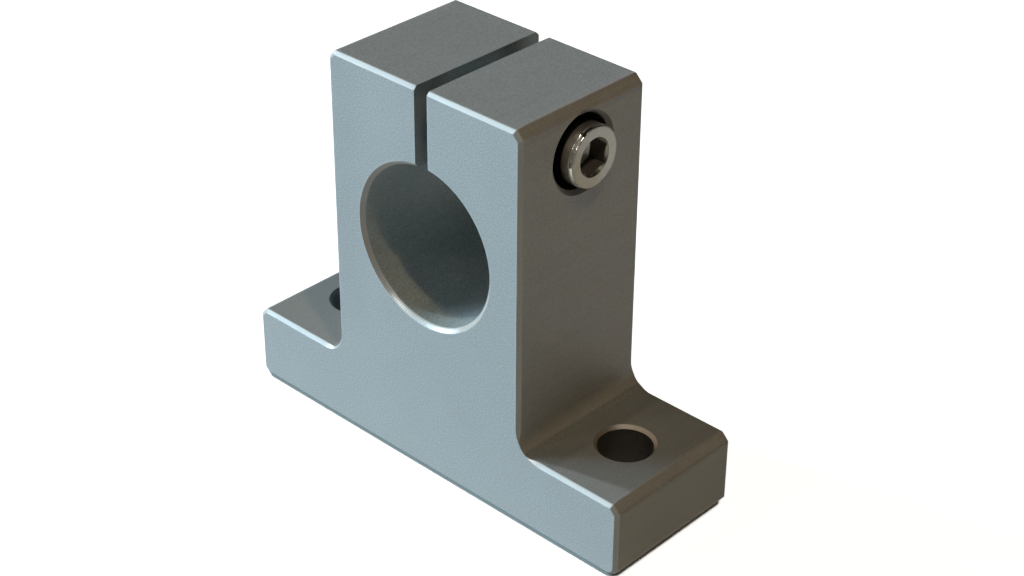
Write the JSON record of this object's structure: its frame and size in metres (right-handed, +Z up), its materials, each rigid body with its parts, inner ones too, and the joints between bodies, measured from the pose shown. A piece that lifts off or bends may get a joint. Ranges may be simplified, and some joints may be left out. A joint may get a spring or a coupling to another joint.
{
  "type": "shaft support block",
  "caption": "Upright aluminium block that clamps a round linear shaft in a split bore, with a side clamp screw and a flanged base for bolting down.",
  "frame": {"origin": "centre of the underside of the base, midway between the bolt holes", "axes": "+X along the base's length towards the clamp screw's head, +Y from the front face to the back along the shaft bore, +Z up"},
  "size_m": [0.06, 0.02, 0.051],
  "materials": {
    "block_aluminium": "machined satin, with fine parallel cutting marks",
    "screw_steel": "plated steel, polished collar and satin face"
  },
  "bodies": {
    "block": {"support_block": "block_aluminium"},
    "screw": {"clamp_screw": "screw_steel"}
  },
  "joints": [
    {"name": "clamp_screw_travel", "type": "slide", "parent": "block", "child": "screw", "axis": [1, 0, 0], "range_m": [-0.0016, 0.0064]}
  ]
}
